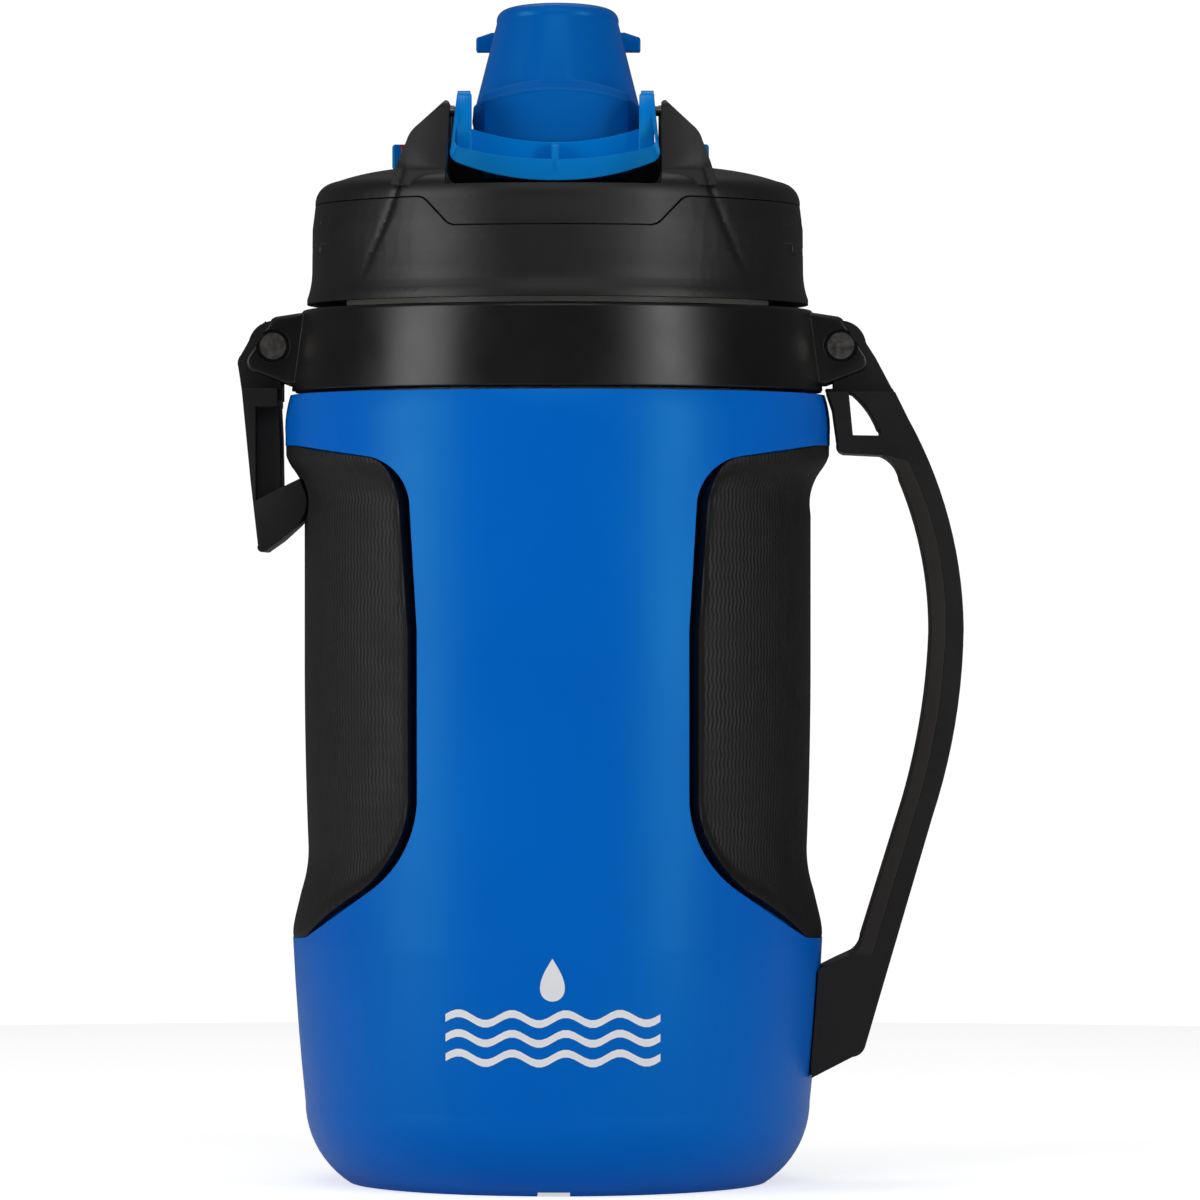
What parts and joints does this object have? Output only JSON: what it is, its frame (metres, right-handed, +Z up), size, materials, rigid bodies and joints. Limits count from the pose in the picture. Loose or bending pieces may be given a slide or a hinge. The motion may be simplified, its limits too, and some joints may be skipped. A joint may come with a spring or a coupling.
{
  "type": "water jug",
  "caption": "Insulated sports water jug: waisted double-wall body with soft side grips, screw lid with flip-up spout cover, swinging side handle and fence hook.",
  "frame": {"origin": "middle of the foot ring, on the surface the jug stands on", "axes": "+Z up along the body's axis, -Y to the front where the release trigger is, +X to the handle"},
  "size_m": [0.1734, 0.1306, 0.2823],
  "materials": {
    "blue_shell": "satin blue, finely spark-eroded polyethylene",
    "blue_gloss": "satin-gloss blue polypropylene",
    "black_plastic": "black satin moulded polypropylene",
    "soft_black": "soft black textured elastomer",
    "liner": "natural white polypropylene",
    "foam": "rigid foam",
    "steel": "turned steel",
    "spring_steel": "spring wire",
    "silicone": "translucent white silicone",
    "red_plastic": "red"
  },
  "bodies": {
    "jug": {"outer_shell": "blue_shell", "base_plate": "blue_shell", "inner_vessel": "liner", "foam_insulation": "foam", "left_grip": "soft_black", "right_grip": "soft_black", "neck_collar": "black_plastic", "handle_pin": "steel", "hook_pin": "steel"},
    "lid_gasket": {"lid_gasket": "silicone"},
    "lid": {"lid_skirt": "black_plastic", "lid_cover": "black_plastic", "lid_inner_plate": "liner", "vent_valve": "silicone", "drinking_spout": "liner", "cover_hinge_pin": "steel", "cover_spring": "spring_steel", "trigger_pins": "steel", "trigger_springs": "spring_steel"},
    "spout_cover": {"spout_cover": "blue_gloss", "cover_seal": "silicone"},
    "release_trigger": {"release_trigger": "blue_gloss"},
    "lock_slider": {"lock_slider": "blue_gloss", "lock_indicator": "red_plastic"},
    "fence_hook": {"fence_hook": "black_plastic"},
    "handle": {"handle_frame": "black_plastic", "handle_grip": "soft_black"}
  },
  "joints": [
    {"name": "lid_lift", "type": "slide", "parent": "jug", "child": "lid_gasket", "axis": [0, 0, 1], "range_m": [0, 0.0075]},
    {"name": "lid_turn", "type": "hinge", "parent": "lid_gasket", "child": "lid", "pos_m": [0, 0, 0.22], "axis": [0, 0, 1], "range_deg": [0, 300]},
    {"name": "cover_flip", "type": "hinge", "parent": "lid", "child": "spout_cover", "pos_m": [0, 0.0225, 0.246], "axis": [-1, 0, 0], "range_deg": [0, 90]},
    {"name": "trigger_press", "type": "hinge", "parent": "lid", "child": "release_trigger", "pos_m": [0, -0.025, 0.255], "axis": [1, 0, 0], "range_deg": [0, 10], "stiffness_Nm_per_rad": 0.06, "springref_deg": -10, "deforming": ["trigger_springs"]},
    {"name": "lock_slide", "type": "slide", "parent": "lid", "child": "lock_slider", "axis": [-1, 0, 0], "range_m": [-0.0037, 0]},
    {"name": "hook_swing", "type": "hinge", "parent": "jug", "child": "fence_hook", "pos_m": [-0.0677, 0, 0.1999], "axis": [0, 1, 0], "range_deg": [0, 170]},
    {"name": "handle_swing", "type": "hinge", "parent": "jug", "child": "handle", "pos_m": [0.0677, 0, 0.1999], "axis": [0, -1, 0], "range_deg": [0, 95]}
  ],
  "couplings": [
    {"joint": "lid_lift", "follows": "lid_turn", "m_per_rad": 0.0014324}
  ]
}
